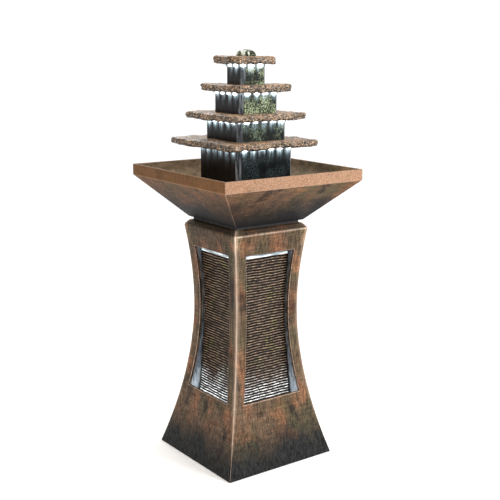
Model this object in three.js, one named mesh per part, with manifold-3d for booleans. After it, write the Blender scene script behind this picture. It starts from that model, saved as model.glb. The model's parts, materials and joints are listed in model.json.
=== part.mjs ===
// A tiered garden fountain: a waisted square pedestal with four lit niches, a square bowl on top of it,
// and a tower of four dark boxes, each carrying a wider stone slab with a ring of lights under it.
// A small pump on the bowl's floor lifts water through the riser tube to the spout on the top slab.
// Millimetres, +Z up, origin on the floor under the middle of the pedestal.
import * as THREE from "three";
import { mergeVertices } from "three/addons/utils/BufferGeometryUtils.js";
import Module from "manifold-3d";

// Driving dimensions. A square section is given by its half width, called half.
const GAP = 0.3; // clearance between pieces that only touch
const SIDES = ["front", "right", "back", "left"]; // -Y, +X, +Y, -X
const QUARTER = 90; // degrees from one side to the next

const PEDESTAL = {
  lift: 1.2, // the feet hold the shell this far off the floor
  wall: 7,
  waistHalf: 108.5,
  waistZ: 445,
  footFlare: 75.5, // the foot is this much wider than the waist, each way
  footPower: 1.82,
  headFlare: 19.6,
  headPower: 1.95,
  shoulderZ: 681, // where the sides end and the bevel to the top begins
  topHalf: 117,
  topZ: 696,
  topPlate: 8,
  topHoleHalf: 60,
  flangeHalf: 150, // opening in the foot's inward flange
  flangeT: 7,
};
const NICHE = {
  stile: 34, // pedestal face left standing beside the opening
  sillZ: 195,
  headZ: 622,
  troughZ: 172, // the floor behind the sill, which hides the lower light
  backHalf: 88, // middle of the fountain to the niche's back at the waist
  backFollow: 0.3, // share of the pedestal's flare that the back follows
  cornerGap: 9, // from a niche's back corner to the diagonal that it shares with the next niche
  wall: 4,
};
const PANEL = { base: 3.2, rib: 3, pitch: 7.8, margin: 4, play: 0.8 };
const BAR = { size: 6, end: 9, headDrop: 7, sillLift: 4, headOut: 1, sillOut: 11 };
const CURVE_STEPS = 14; // straight stretches in the pedestal's curve
const NICHE_STEPS = 10;
const FOOT = { r: 13, at: 166 };
const BOSS = { half: 20, lowZ: 22, highZ: 58, innerY: 160, outerY: 176, holeR: 9.3 };
const GROMMET = { flangeT: 3, flangeOut: 3, boreR: 5 };
const JUNCTION = { z: 300, high: 40, half: 30, deep: 24, off: 2, glandR: 5, glandOut: 12, pitch: 18 };
const GASKET = { outerHalf: 108, innerHalf: 88, t: 8 };
const BOWL = {
  z: PEDESTAL.topZ + GASKET.t,
  floorT: 7,
  wallAcross: 10, // the sloping wall, measured level
  footHalf: 118,
  rimHalf: 235,
  bandZ: 118, // height over the bowl's underside where the upright rim band begins
  rimZ: 149,
  rimT: 6,
  spigotHalf: 58,
  spigotWall: 8,
  spigotDeep: 20,
};
const FLOOR_Z = BOWL.z + BOWL.floorT;
const STOPPER = { x: 37, y: 10, r: 10, tipR: 8.7, below: 4, flangeR: 12.5, flangeT: 3, boreR: 3.3 };
const PUMP = {
  half: 22,
  height: 44,
  cup: 6,
  frontY: -8,
  backY: 38,
  chamberR: 15,
  chamberDeep: 16,
  rotorBoreR: 8,
  rotorBoreDeep: 40,
  blades: 6,
  pinR: 1.2,
  coverDeep: 16,
  coverWall: 2.5,
  windowInner: 4,
  windowOuter: 13,
  outletR: 6.5,
  outletBoreR: 4.5,
  outletTop: 72, // over the bowl's floor
  outletFlangeR: 8,
  outletFlangeT: 3,
  barb: 0.8,
  barbPitch: 6,
  edge: 3,
  leadR: 3,
  leadZ: 30,
};
const DIAL = { t: 2.2, rim: 2, hubR: 3, hubOut: 2, gripHalf: 1.5, gripOut: 4, gripZ: 13, gripHigh: 2 };
const CUP = { hollow: 1.6, lipR: 5.5, outerR: 7, shoulderR: 4, shoulderZ: 3, neckR: 2.5, x: 13, y: 14 };
// Split stones aren't quite square or central: slabAt is where a slab's middle is.
const TIERS = [
  { boxHalf: 97, boxZ: FLOOR_Z, slabZ: 916, slabT: 16, slabHalf: 151, slabAt: [-5, 3], lights: 6 },
  { boxHalf: 84, boxZ: 932, slabZ: 990, slabT: 16, slabHalf: 123, slabAt: [-1, 1], lights: 5 },
  { boxHalf: 67, boxZ: 1006, slabZ: 1066, slabT: 18, slabHalf: 92, slabAt: [2, -1], lights: 4 },
  { boxHalf: 43, boxZ: 1084, slabZ: 1141, slabT: 20, slabHalf: 64, slabAt: [-4, 3], lights: 2 },
];
const BOX = { wall: 4, corner: 12, topT: 4, topHoleR: 14, inletHalf: 22, inletHigh: 10 };
const SLAB = { bevel: 3, squareness: 60, points: 48 };
const STRIP = { t: 2.5, height: 8, pitch: 30, ledSize: 5, ledOut: 1.6, ledDrop: 5 };
const RISER = { innerR: 7, outerR: 8.5, bottom: 57, top: 1156 };
const LEAD = { r: 2, at: 16, holeR: 3, top: 1130, bottom: 815 };
const PLUG = { r: 6, length: 30, pinR: 4.5, pinLength: 8, taper: 6, topR: 3 };
const SPOUT = { flangeR: 22, flangeT: 3, domeR: 15, topZ: 1177.5, boreR: 4, stemR: 6.6, stemDeep: 16 };

const material = (color, roughness, metalness) =>
  new THREE.MeshStandardMaterial({ color, roughness, metalness });
const COPPER = material(0x7d5a45, 0.45, 0.4);
const RIBBED = material(0x4a3b30, 0.35, 0.3);
const STONE = material(0x6b4f3a, 0.6, 0);
const GRANITE = material(0x14171a, 0.15, 0);
const BLACK_RUBBER = material(0x151515, 0.8, 0);
const BLACK_PLASTIC = material(0x1c1d1f, 0.5, 0);
const LIGHT = material(0xf2fbff, 0.4, 0);
const CLEAR_TUBE = material(0xc9d4d2, 0.2, 0);
const STEEL = material(0xb8babd, 0.3, 0.9);

// Solids

const wasm = await Module();
wasm.setup();

// A closed geometry as a solid that can be cut and joined.
function solid(geometry) {
  const bare = geometry.clone();
  bare.deleteAttribute("normal");
  bare.deleteAttribute("uv");
  const merged = mergeVertices(bare, 1e-4);
  const vertProperties = merged.attributes.position.array;
  return new wasm.Manifold(
    new wasm.Mesh({ numProp: 3, vertProperties, triVerts: new Uint32Array(merged.index.array) }),
  );
}

// A solid back as a flat-shaded three.js geometry.
function geometryOf(made) {
  const mesh = made.getMesh();
  const geometry = new THREE.BufferGeometry();
  geometry.setAttribute("position", new THREE.BufferAttribute(mesh.vertProperties, 3));
  geometry.setIndex(new THREE.BufferAttribute(mesh.triVerts, 1));
  geometry.computeVertexNormals();
  return geometry;
}

const join = (parts) => parts.reduce((whole, part) => whole.add(part));
const onAllSides = (part) => SIDES.map((_, side) => part.rotate([0, 0, side * QUARTER]));

// A box from its low and high corners.
function block(low, high) {
  const size = high.map((value, axis) => value - low[axis]);
  const geometry = new THREE.BoxGeometry(...size);
  geometry.translate(...low.map((value, axis) => value + size[axis] / 2));
  return solid(geometry);
}

// [half or radius, z] points, turned about Z. Four segments make a square section.
function turned(points, segments) {
  const square = segments === 4;
  const stretch = square ? Math.SQRT2 : 1;
  const profile = points.map(([r, z]) => new THREE.Vector2(r * stretch, z));
  const geometry = new THREE.LatheGeometry(profile, segments, square ? Math.PI / 4 : 0);
  geometry.rotateX(Math.PI / 2);
  return solid(geometry);
}

function cylinder(r, z0, z1, segments = 20) {
  const geometry = new THREE.CylinderGeometry(r, r, z1 - z0, segments);
  geometry.rotateX(Math.PI / 2);
  geometry.translate(0, 0, (z0 + z1) / 2);
  return solid(geometry);
}

// A cylinder along Y, from y0 to y1, about the point x, z.
function crossCylinder(r, y0, y1, x, z, segments = 20) {
  return cylinder(r, -y1, -y0, segments).rotate([90, 0, 0]).translate([x, 0, z]);
}

// A flat shape in X and Y, pulled up from z0 to z1.
function pulledUp(shape, z0, z1, options = {}) {
  const depth = z1 - z0;
  const geometry = new THREE.ExtrudeGeometry(shape, { depth, bevelEnabled: false, ...options });
  geometry.translate(0, 0, z0);
  return solid(geometry);
}

// A solid between rings of four points, one ring for each height.
function lofted(rings) {
  const corners = 4;
  const index = [];
  for (let ring = 0; ring < rings.length - 1; ring++) {
    for (let corner = 0; corner < corners; corner++) {
      const a = ring * corners + corner;
      const b = ring * corners + ((corner + 1) % corners);
      index.push(a, b, b + corners, a, b + corners, a + corners);
    }
  }
  const last = (rings.length - 1) * corners;
  index.push(0, 2, 1, 0, 3, 2, last, last + 1, last + 2, last, last + 2, last + 3);
  const geometry = new THREE.BufferGeometry();
  geometry.setAttribute("position", new THREE.Float32BufferAttribute(rings.flat(2), 3));
  geometry.setIndex(index);
  return solid(geometry);
}

// A square outline with its corners cut off.
function cutSquare(half, corner) {
  const flat = half - corner;
  const points = [
    [-flat, -half],
    [flat, -half],
    [half, -flat],
    [half, flat],
    [flat, half],
    [-flat, half],
    [-half, flat],
    [-half, -flat],
  ];
  return new THREE.Shape(points.map(([x, y]) => new THREE.Vector2(x, y)));
}

const steps = (low, high, count) =>
  Array.from({ length: count + 1 }, (_, step) => low + ((high - low) * step) / count);

// Pedestal

// Half width of the pedestal's face at height z: narrowest at the waist, curving out both ways.
function faceHalf(z) {
  const { waistHalf, waistZ, shoulderZ, footFlare, footPower, headFlare, headPower } = PEDESTAL;
  if (z < waistZ) return waistHalf + footFlare * ((waistZ - z) / waistZ) ** footPower;
  return waistHalf + headFlare * ((z - waistZ) / (shoulderZ - waistZ)) ** headPower;
}

// Middle of the fountain to the niche's back, and the back's half width, at height z.
const backHalf = (z) => NICHE.backHalf + NICHE.backFollow * (faceHalf(z) - PEDESTAL.waistHalf);
const backWidth = (z) => Math.min(faceHalf(z) - NICHE.stile, backHalf(z) - NICHE.cornerGap);

// The front niche's hollow from z0 to z1, grown all round by grow. Its front stands outside the
// pedestal's face by outside, or inside it where that is negative.
function nicheHollow(z0, z1, grow, outside) {
  const rings = steps(z0 - grow, z1 + grow, NICHE_STEPS).map((z) => {
    const front = faceHalf(z) + outside;
    const wide = faceHalf(z) - NICHE.stile + grow;
    const back = backHalf(z) - grow;
    const narrow = backWidth(z) + grow;
    return [
      [-wide, -front, z],
      [wide, -front, z],
      [narrow, -back, z],
      [-narrow, -back, z],
    ];
  });
  return lofted(rings);
}

const pedestalCurve = (low, high, inset) =>
  steps(low, high, CURVE_STEPS).map((z) => [faceHalf(z) - inset, z]);

// The pedestal's inside, set in from its faces by the wall and by play.
function pedestalInside(play) {
  const { lift, wall, shoulderZ, topHalf, topZ, topPlate, flangeT } = PEDESTAL;
  const inset = wall + play;
  const low = lift + flangeT + play;
  const high = topZ - topPlate - play;
  const curve = pedestalCurve(low, shoulderZ - wall, inset);
  return turned([[0, low], ...curve, [topHalf - inset, high], [0, high]], 4);
}

const nicheOpening = () => nicheHollow(NICHE.sillZ, NICHE.headZ, 0, 5);

function pedestalShell() {
  const { lift, shoulderZ, topHalf, topZ, topPlate, topHoleHalf, flangeHalf, flangeT } = PEDESTAL;
  const curve = pedestalCurve(lift, shoulderZ, 0);
  const body = turned([[0, lift], ...curve, [topHalf, topZ], [0, topZ]], 4);
  const boss = block([-BOSS.half, BOSS.innerY, BOSS.lowZ], [BOSS.half, BOSS.outerY, BOSS.highZ]);
  const cableHole = crossCylinder(
    BOSS.holeR,
    BOSS.innerY - 20,
    BOSS.outerY + 20,
    0,
    (BOSS.lowZ + BOSS.highZ) / 2,
  );
  return body
    .subtract(pedestalInside(0))
    .subtract(join(onAllSides(nicheOpening())))
    .subtract(block([-flangeHalf, -flangeHalf, 0], [flangeHalf, flangeHalf, lift + flangeT + 1]))
    .subtract(
      block(
        [-topHoleHalf, -topHoleHalf, topZ - topPlate - 1],
        [topHoleHalf, topHoleHalf, topZ + 1],
      ),
    )
    .add(boss)
    .subtract(cableHole);
}

// A tray behind the front window: back, jambs and head, and below the sill a trough for the lower light.
function nicheLiner() {
  const lining = nicheHollow(NICHE.troughZ, NICHE.headZ, NICHE.wall, 0);
  const trough = nicheHollow(NICHE.troughZ, NICHE.sillZ + 1, 0, 0);
  return lining.intersect(pedestalInside(GAP)).subtract(nicheOpening()).subtract(trough);
}

// A plate with level ribs, curved like the niche's back and cut to the niche's outline.
function nichePanel() {
  const low = NICHE.troughZ + PANEL.margin;
  const high = NICHE.headZ - PANEL.margin;
  const ribs = Math.round((high - low) / PANEL.pitch);
  const back = steps(high, low, NICHE_STEPS).map((z) => [backHalf(z) + PANEL.play, z]);
  const front = steps(low, high, 2 * ribs).map((z, step) => [
    backHalf(z) + PANEL.base + (step % 2 ? PANEL.rib : 0),
    z,
  ]);
  const profile = new THREE.Shape([...front, ...back].map(([y, z]) => new THREE.Vector2(y, z)));
  const reach = PEDESTAL.topHalf;
  const plate = pulledUp(profile, -reach, reach).rotate([90, 0, 0]).rotate([0, 0, -QUARTER]);
  return plate.intersect(nicheHollow(NICHE.troughZ, NICHE.headZ, -PANEL.play, 0));
}

// A diffused light bar across the front niche. Out is how far its back stands off the ribs.
function lightBar(z, out) {
  const y = backHalf(z) + PANEL.base + PANEL.rib + out;
  const half = backWidth(z) - BAR.end;
  return block([-half, -y - BAR.size, z - BAR.size / 2], [half, -y, z + BAR.size / 2]);
}

// Rubber ring that seals the cable hole, with a flange on each side of the boss.
function cableGrommet() {
  const { flangeT, flangeOut, boreR } = GROMMET;
  const flangeR = BOSS.holeR + flangeOut;
  const low = BOSS.innerY - GAP - flangeT;
  const high = BOSS.outerY + GAP + flangeT;
  const neckR = BOSS.holeR - GAP;
  const profile = [
    [boreR, low],
    [flangeR, low],
    [flangeR, low + flangeT],
    [neckR, low + flangeT],
    [neckR, high - flangeT],
    [flangeR, high - flangeT],
    [flangeR, high],
    [boreR, high],
    [boreR, low],
  ];
  return turned(profile, 24)
    .rotate([-90, 0, 0])
    .translate([0, 0, (BOSS.lowZ + BOSS.highZ) / 2]);
}

// Splitter for the light leads, on the inside of the back niche.
function junctionBox() {
  const { z, high, half, deep, off, glandR, glandOut, pitch } = JUNCTION;
  const wall = backHalf(z) - NICHE.wall - off;
  const body = block([-half, wall - deep, z - high], [half, wall, z + high]);
  const reach = high + glandOut;
  const glands = [-pitch, 0, pitch].flatMap((x) => [
    cylinder(glandR, z - reach, z - high + 1, 12).translate([x, wall - deep / 2, 0]),
    cylinder(glandR, z + high - 1, z + reach, 12).translate([x, wall - deep / 2, 0]),
  ]);
  return join([body, ...glands]);
}

function squareRing(outer, inner, z0, z1) {
  return block([-outer, -outer, z0], [outer, outer, z1]).subtract(
    block([-inner, -inner, z0 - 1], [inner, inner, z1 + 1]),
  );
}

// Bowl, from its underside

function bowlShell() {
  const { floorT, wallAcross, footHalf, rimHalf, bandZ, rimZ, rimT } = BOWL;
  const { spigotHalf, spigotWall, spigotDeep } = BOWL;
  const slope = (rimHalf - footHalf) / bandZ;
  const innerHalf = (z) => footHalf + slope * z - wallAcross;
  const rimInner = rimHalf - rimT;
  const innerBandZ = (rimInner - innerHalf(0)) / slope;
  const shell = turned(
    [
      [0, 0],
      [footHalf, 0],
      [rimHalf, bandZ],
      [rimHalf, rimZ],
      [rimInner, rimZ],
      [rimInner, innerBandZ],
      [innerHalf(floorT), floorT],
      [0, floorT],
    ],
    4,
  );
  const spigot = squareRing(spigotHalf, spigotHalf - spigotWall, -spigotDeep, 1);
  const hole = cylinder(STOPPER.r, -5, floorT + 5).translate([STOPPER.x, STOPPER.y, 0]);
  return shell.add(spigot).subtract(hole);
}

// Rubber bung that seals the pump's lead where it goes down through the bowl.
function leadStopper() {
  const { r, tipR, below, flangeR, flangeT, boreR } = STOPPER;
  const { floorT } = BOWL;
  return turned(
    [
      [boreR, -below],
      [tipR, -below],
      [r - GAP, 0],
      [r - GAP, floorT],
      [flangeR, floorT],
      [flangeR, floorT + flangeT],
      [boreR, floorT + flangeT],
      [boreR, -below],
    ],
    24,
  );
}

// Pump, from the bowl's floor. Its chamber is under the riser, and the intake faces -Y.

const pumpHigh = PUMP.cup + PUMP.height;
const shaftZ = PUMP.cup + PUMP.height / 2;

function pumpBody() {
  const { half, edge, frontY, backY, chamberR, chamberDeep, rotorBoreR, rotorBoreDeep } = PUMP;
  const outline = cutSquare(half, edge);
  const housing = pulledUp(outline, frontY, backY)
    .rotate([-90, 0, 0])
    .translate([0, 0, shaftZ]);
  const chamber = crossCylinder(chamberR, frontY - 1, frontY + chamberDeep, 0, shaftZ);
  const rotorBore = crossCylinder(rotorBoreR, frontY, frontY + rotorBoreDeep, 0, shaftZ);
  const outletHole = cylinder(PUMP.outletBoreR, shaftZ, pumpHigh + 5);
  return housing.subtract(chamber).subtract(rotorBore).subtract(outletHole);
}

// Hose tail with barbs, on the top of the pump's chamber.
function pumpOutlet() {
  const { outletR, outletBoreR, outletTop, outletFlangeR, outletFlangeT, barb, barbPitch } = PUMP;
  const low = pumpHigh;
  const neckR = outletR - barb;
  return turned(
    [
      [outletBoreR, low],
      [outletFlangeR, low],
      [outletFlangeR, low + outletFlangeT],
      [neckR, low + outletFlangeT],
      [neckR, outletTop - 2 * barbPitch],
      [outletR, outletTop - 2 * barbPitch],
      [neckR, outletTop - barbPitch],
      [outletR, outletTop - barbPitch],
      [neckR, outletTop],
      [outletBoreR, outletTop],
      [outletBoreR, low],
    ],
    16,
  );
}

// Six straight blades and the magnet rotor behind them, with a bore for the fixed shaft.
function pumpImpeller() {
  const { frontY, chamberR, chamberDeep, rotorBoreR, rotorBoreDeep, blades } = PUMP;
  const bladeLength = chamberR - 2;
  const y0 = frontY + 2;
  const y1 = frontY + chamberDeep - 3;
  const fan = Array.from({ length: blades }, (_, blade) =>
    block([0, y0, -1], [bladeLength, y1, 1]).rotate([0, (360 * blade) / blades, 0]),
  );
  const hub = crossCylinder(4.5, y0, frontY + chamberDeep, 0, 0);
  const rotor = crossCylinder(
    rotorBoreR - 1,
    frontY + chamberDeep - 2,
    frontY + rotorBoreDeep - 3,
    0,
    0,
  );
  const bore = crossCylinder(1.5, y0 - 1, frontY + rotorBoreDeep, 0, 0, 12);
  return join([hub, rotor, ...fan])
    .subtract(bore)
    .translate([0, 0, shaftZ]);
}

// The fixed ceramic pin that the rotor turns on.
function pumpShaft() {
  const { frontY, rotorBoreDeep, pinR } = PUMP;
  return crossCylinder(pinR, frontY - 1, frontY + rotorBoreDeep - GAP, 0, shaftZ, 12);
}

// A flat ring sector in X and Z, about the shaft, as thick as y0 to y1.
function sector(inner, outer, middle, width, y0, y1) {
  const from = THREE.MathUtils.degToRad(middle - width / 2);
  const to = THREE.MathUtils.degToRad(middle + width / 2);
  const shape = new THREE.Shape();
  shape.absarc(0, 0, outer, from, to, false);
  shape.absarc(0, 0, inner, to, from, true);
  shape.closePath();
  return pulledUp(shape, -y1, -y0, { curveSegments: 4 })
    .rotate([90, 0, 0])
    .translate([0, 0, shaftZ]);
}

const windows = (y0, y1) =>
  join(
    steps(0, 3 * QUARTER, 3).map((angle) =>
      sector(PUMP.windowInner, PUMP.windowOuter, angle, QUARTER / 2, y0, y1),
    ),
  );

// Cap over the intake, with four windows that the dial opens and shuts.
function pumpCover() {
  const { half, edge, frontY, coverDeep, coverWall } = PUMP;
  const outline = cutSquare(half, edge);
  const inner = cutSquare(half - coverWall, edge - 1);
  const back = frontY - GAP;
  const front = frontY - coverDeep;
  const cap = pulledUp(outline, front, back)
    .subtract(pulledUp(inner, front + coverWall, back + 1))
    .rotate([-90, 0, 0])
    .translate([0, 0, shaftZ]);
  return cap
    .subtract(windows(front - 1, front + coverWall + 1))
    .subtract(crossCylinder(1.5, front - 1, back, 0, shaftZ, 12));
}

// Flow dial: a disc with windows to match the cover's, a bar to turn it by and a pin into the cover.
function flowDial() {
  const { t, rim, hubR, hubOut, gripHalf, gripOut, gripZ, gripHigh } = DIAL;
  const back = PUMP.frontY - PUMP.coverDeep - GAP;
  const front = back - t;
  const disc = crossCylinder(PUMP.windowOuter + rim, front, back, 0, shaftZ, 32);
  const gripLow = shaftZ + gripZ;
  const grip = block([-gripHalf, front - gripOut, gripLow], [gripHalf, back - 1, gripLow + gripHigh]);
  const hub = crossCylinder(hubR, front - hubOut, back, 0, shaftZ, 12);
  const pin = crossCylinder(PUMP.pinR, back - 1, back + PUMP.coverWall + 2, 0, shaftZ, 12);
  return join([disc.subtract(windows(front - 1, back + 1)), grip, hub, pin]);
}

function suctionCup() {
  const { hollow, lipR, outerR, shoulderR, shoulderZ, neckR } = CUP;
  const low = GAP;
  const high = PUMP.cup - GAP;
  return turned(
    [
      [0, low + hollow],
      [lipR, low],
      [outerR, low],
      [shoulderR, low + shoulderZ],
      [neckR, low + shoulderZ],
      [neckR, high],
      [0, high],
    ],
    16,
  );
}

// The pump's lead, from its back round to the stopper and down into it.
function pumpLead() {
  const { backY, leadR, leadZ } = PUMP;
  const { x, y } = STOPPER;
  const path = new THREE.CatmullRomCurve3(
    [
      [0, backY + 2 * GAP, leadZ],
      [0, backY + 8, leadZ],
      [12, backY + 20, leadZ + 2],
      [30, backY + 14, leadZ + 6],
      [x + 3, backY - 8, leadZ + 7],
      [x + 1, y + 6, leadZ + 1],
      [x, y, leadZ - 10],
      [x, y, 3],
    ].map((point) => new THREE.Vector3(...point)),
  );
  const section = new THREE.Shape();
  section.absarc(0, 0, leadR, 0, 2 * Math.PI, false);
  const options = { extrudePath: path, steps: 28, curveSegments: 4 };
  return solid(new THREE.ExtrudeGeometry(section, options));
}

// Tower

// A hollow box, open below, with holes in its top for the riser and the light lead.
function towerBox(tier, number) {
  const low = tier.boxZ;
  const high = tier.slabZ;
  const outer = pulledUp(cutSquare(tier.boxHalf, BOX.corner), low, high);
  const innerCorner = BOX.corner - BOX.wall * (2 - Math.SQRT2);
  const inner = cutSquare(tier.boxHalf - BOX.wall, innerCorner);
  const walls = outer
    .subtract(pulledUp(inner, low - 1, high - BOX.topT))
    .subtract(cylinder(BOX.topHoleR, low, high + 1))
    .subtract(leadHole(low, high + 1));
  if (number > 1) return walls;
  const { inletHalf, inletHigh } = BOX;
  const inlet = block([-inletHalf, -tier.boxHalf - 1, low - 1], [inletHalf, 0, low + inletHigh]);
  return walls.subtract(join(onAllSides(inlet)));
}

const leadHole = (z0, z1) => cylinder(LEAD.holeR, z0, z1, 12).translate([LEAD.at, LEAD.at, 0]);

// A square slab of split stone: blunt corners and an edge that wanders in and out.
function slabOutline(half, seed) {
  const { squareness, points } = SLAB;
  const outline = steps(0, 2 * Math.PI, points).slice(0, points);
  return new THREE.Shape(
    outline.map((angle) => {
      const c = Math.cos(angle);
      const s = Math.sin(angle);
      const reach = (Math.abs(c) ** squareness + Math.abs(s) ** squareness) ** (-1 / squareness);
      const wander =
        1.3 * Math.sin(5 * angle + seed) +
        1.1 * Math.sin(11 * angle + 2.3 * seed) +
        0.7 * Math.sin(19 * angle + 4.1 * seed);
      const r = half * reach + wander;
      return new THREE.Vector2(r * c, r * s);
    }),
  );
}

function tierSlab(tier, number) {
  const { bevel } = SLAB;
  const options = {
    depth: tier.slabT - 2 * bevel,
    bevelEnabled: true,
    bevelThickness: bevel,
    bevelSize: bevel,
    bevelOffset: -bevel,
    bevelSegments: 1,
  };
  const slab = new THREE.ExtrudeGeometry(slabOutline(tier.slabHalf, number), options);
  slab.translate(...tier.slabAt, tier.slabZ + bevel);
  const top = tier.slabZ + tier.slabT;
  const hole = cylinder(RISER.outerR + 1, tier.slabZ - 1, top + 1);
  const stone = solid(slab).subtract(hole);
  return number < TIERS.length ? stone.subtract(leadHole(tier.slabZ - 1, top + 1)) : stone;
}

// A strip of lights round the top of a box, under the slab's overhang.
function lightStrip(tier) {
  const inner = tier.boxHalf + GAP;
  const outer = inner + STRIP.t;
  const high = tier.slabZ - GAP;
  const low = high - STRIP.height;
  const band = pulledUp(cutSquare(outer, BOX.corner), low, high).subtract(
    pulledUp(cutSquare(inner, BOX.corner), low - 1, high + 1),
  );
  const span = ((tier.lights - 1) * STRIP.pitch) / 2;
  const r = STRIP.ledSize / 2;
  const ledZ = tier.slabZ - STRIP.ledDrop;
  const lights = steps(-span, span, tier.lights - 1).map((x) =>
    block([x - r, -outer - STRIP.ledOut, ledZ - r], [x + r, -inner - 1, ledZ + r]),
  );
  return join([band, ...onAllSides(join(lights))]);
}

function riserTube() {
  const { innerR, outerR, bottom, top } = RISER;
  const low = FLOOR_Z + bottom;
  return turned(
    [
      [innerR, low],
      [outerR, low],
      [outerR, top],
      [innerR, top],
      [innerR, low],
    ],
    24,
  );
}

// Bubbler on the top slab: a domed cap over the riser's end, with a stem inside the tube.
function spoutNozzle() {
  const { flangeR, flangeT, domeR, topZ, boreR, stemR, stemDeep } = SPOUT;
  const seat = TIERS[3].slabZ + TIERS[3].slabT;
  const rise = topZ - seat - flangeT;
  const dome = steps(0, Math.acos(boreR / domeR), 5).map((angle) => [
    domeR * Math.cos(angle),
    seat + flangeT + rise * Math.sin(angle),
  ]);
  return turned(
    [
      [boreR, seat - stemDeep],
      [stemR, seat - stemDeep],
      [stemR, seat],
      [flangeR, seat],
      [flangeR, seat + flangeT],
      ...dome,
      [boreR, seat - stemDeep],
    ],
    20,
  );
}

const lightLead = () =>
  cylinder(LEAD.r, LEAD.bottom, LEAD.top, 8).translate([LEAD.at, LEAD.at, 0]);

// Two-pin waterproof plug on the lower end of the light lead.
function leadPlug() {
  const { r, length, pinR, pinLength, taper, topR } = PLUG;
  const top = LEAD.bottom - GAP;
  const low = top - length;
  return turned(
    [
      [0, low],
      [pinR, low],
      [pinR, low + pinLength],
      [r, low + pinLength],
      [r, top - taper],
      [topR, top],
      [0, top],
    ],
    12,
  ).translate([LEAD.at, LEAD.at, 0]);
}

// Assembly

const fountain = new THREE.Group();
const pedestal = new THREE.Group();
const bowl = new THREE.Group();
const pump = new THREE.Group();
const tower = new THREE.Group();
bowl.position.z = BOWL.z;
pump.position.z = BOWL.floorT;
bowl.add(pump);
fountain.add(pedestal, bowl, tower);

function place(group, name, made, look, x = 0, y = 0, z = 0) {
  const mesh = new THREE.Mesh(geometryOf(made), look);
  mesh.name = name;
  mesh.position.set(x, y, z);
  group.add(mesh);
}

place(pedestal, "pedestal_shell", pedestalShell(), COPPER);
const liners = onAllSides(nicheLiner());
const panels = onAllSides(nichePanel());
const headBars = onAllSides(lightBar(NICHE.headZ - BAR.headDrop - BAR.size / 2, BAR.headOut));
const sillBars = onAllSides(lightBar(NICHE.troughZ + BAR.sillLift + BAR.size / 2, BAR.sillOut));
SIDES.forEach((side, number) => {
  place(pedestal, `niche_liner_${side}`, liners[number], COPPER);
  place(pedestal, `niche_panel_${side}`, panels[number], RIBBED);
  place(pedestal, `niche_light_head_${side}`, headBars[number], LIGHT);
  place(pedestal, `niche_light_sill_${side}`, sillBars[number], LIGHT);
});
place(pedestal, "cable_grommet", cableGrommet(), BLACK_RUBBER);
place(pedestal, "light_junction_box", junctionBox(), BLACK_PLASTIC);
const corners = { front_left: [-1, -1], front_right: [1, -1], back_right: [1, 1], back_left: [-1, 1] };
for (const [corner, [x, y]] of Object.entries(corners)) {
  const foot = cylinder(FOOT.r, 0, PEDESTAL.lift, 20);
  place(pedestal, `foot_${corner}`, foot, BLACK_RUBBER, x * FOOT.at, y * FOOT.at);
}
const gasket = squareRing(GASKET.outerHalf, GASKET.innerHalf, 0, GASKET.t - GAP);
place(pedestal, "seat_gasket", gasket, BLACK_RUBBER, 0, 0, PEDESTAL.topZ);

place(bowl, "bowl_shell", bowlShell(), COPPER);
place(bowl, "lead_stopper", leadStopper(), BLACK_RUBBER, STOPPER.x, STOPPER.y, GAP);
place(pump, "pump_body", pumpBody(), BLACK_PLASTIC);
place(pump, "pump_outlet", pumpOutlet(), BLACK_PLASTIC, 0, 0, GAP);
place(pump, "pump_cover", pumpCover(), BLACK_PLASTIC);
place(pump, "pump_flow_dial", flowDial(), BLACK_PLASTIC);
place(pump, "pump_impeller", pumpImpeller(), BLACK_PLASTIC);
place(pump, "pump_shaft", pumpShaft(), STEEL);
place(pump, "pump_lead", pumpLead(), BLACK_RUBBER);
for (const [corner, [x, y]] of Object.entries(corners)) {
  const middleY = (PUMP.frontY + PUMP.backY) / 2;
  const name = `suction_cup_${corner}`;
  place(pump, name, suctionCup(), BLACK_RUBBER, x * CUP.x, middleY + y * CUP.y);
}

TIERS.forEach((tier, index) => {
  const number = index + 1;
  place(tower, `tower_box_${number}`, towerBox(tier, number), GRANITE);
  place(tower, `tier_slab_${number}`, tierSlab(tier, number), STONE);
  place(tower, `light_strip_${number}`, lightStrip(tier), LIGHT);
});
place(tower, "riser_tube", riserTube(), CLEAR_TUBE);
place(tower, "spout_nozzle", spoutNozzle(), BLACK_PLASTIC);
place(tower, "light_lead", lightLead(), BLACK_RUBBER);
place(tower, "light_lead_plug", leadPlug(), BLACK_PLASTIC);

export default fountain;
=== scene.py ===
"""The looks of a tiered garden fountain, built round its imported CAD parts. Metres, +Z up."""

import json
import math

import bmesh
import bpy
import numpy as np
from mathutils import Matrix, Vector, noise


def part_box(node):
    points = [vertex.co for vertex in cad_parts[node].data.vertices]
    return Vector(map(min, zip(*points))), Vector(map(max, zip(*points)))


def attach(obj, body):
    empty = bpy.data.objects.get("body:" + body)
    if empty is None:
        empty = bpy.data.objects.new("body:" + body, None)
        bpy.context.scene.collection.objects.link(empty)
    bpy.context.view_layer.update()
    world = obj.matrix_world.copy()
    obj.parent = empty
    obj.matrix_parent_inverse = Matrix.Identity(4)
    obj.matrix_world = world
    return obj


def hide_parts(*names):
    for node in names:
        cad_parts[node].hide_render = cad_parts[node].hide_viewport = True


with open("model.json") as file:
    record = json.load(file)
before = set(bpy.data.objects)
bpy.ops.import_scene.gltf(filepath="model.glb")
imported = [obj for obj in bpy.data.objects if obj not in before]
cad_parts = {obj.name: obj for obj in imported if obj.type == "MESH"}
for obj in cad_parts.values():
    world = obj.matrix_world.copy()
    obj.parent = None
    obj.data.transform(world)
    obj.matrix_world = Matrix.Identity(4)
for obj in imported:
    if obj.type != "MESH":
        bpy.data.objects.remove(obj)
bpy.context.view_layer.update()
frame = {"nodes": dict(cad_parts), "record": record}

SIDES = ("front", "right", "back", "left")  # -Y, +X, +Y, -X
TIERS = (1, 2, 3, 4)
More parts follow.
